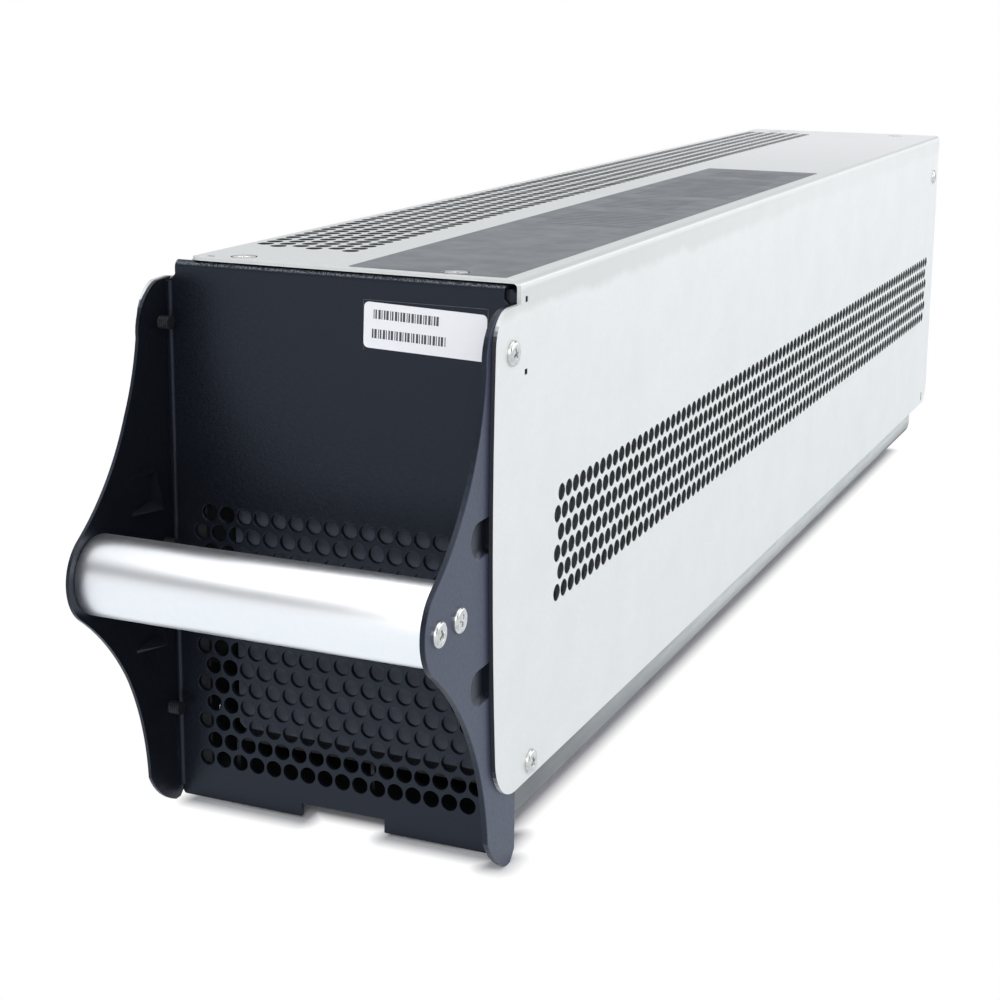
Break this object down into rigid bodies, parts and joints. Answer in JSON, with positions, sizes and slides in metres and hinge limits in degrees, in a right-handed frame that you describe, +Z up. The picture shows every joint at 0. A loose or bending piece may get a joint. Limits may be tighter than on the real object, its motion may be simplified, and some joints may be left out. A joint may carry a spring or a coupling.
{
  "type": "ups battery cartridge",
  "caption": "Long sheet-steel battery cartridge with a black perforated front plate, S-shaped side flanges, an aluminium grab handle and a recessed rear connector.",
  "frame": {"origin": "middle of the footprint on the plane of the front feet", "axes": "+Z up, +Y along the length from the handle to the rear connector, +X to the right as seen from the front"},
  "size_m": [0.1186, 0.6416, 0.168],
  "materials": {
    "galvanised_sheet": "galvanised sheet, satin",
    "black_powder_coat": "fine black powder coat",
    "satin_aluminium": "satin anodised",
    "aluminium_plug": "turned",
    "zinc_screw": "bright zinc",
    "foam": "soft foam pad",
    "battery_case": "moulded case",
    "battery_lid": "moulded lid",
    "tinned_tab": "tinned",
    "copper_strap": "bare copper",
    "connector_plastic": "moulded"
  },
  "bodies": {
    "root": {"cover": "galvanised_sheet", "tray": "galvanised_sheet", "rear_panel": "galvanised_sheet", "front_plate": "black_powder_coat", "handle_tube": "satin_aluminium", "handle_plugs": "aluminium_plug", "handle_screws": "zinc_screw", "flange_screws": "zinc_screw", "tray_screws": "zinc_screw", "rear_side_screws": "zinc_screw", "top_screws": "zinc_screw", "shelf": "galvanised_sheet", "foam_base": "foam", "foam_top": "foam", "battery_cases": "battery_case", "battery_lids": "battery_lid", "battery_tabs": "tinned_tab", "pair_links": "copper_strap", "row_links": "copper_strap", "end_straps": "copper_strap", "connector_carrier": "galvanised_sheet", "connector_housing": "connector_plastic", "connector_contacts": "copper_strap", "connector_screws": "zinc_screw"}
  },
  "joints": []
}
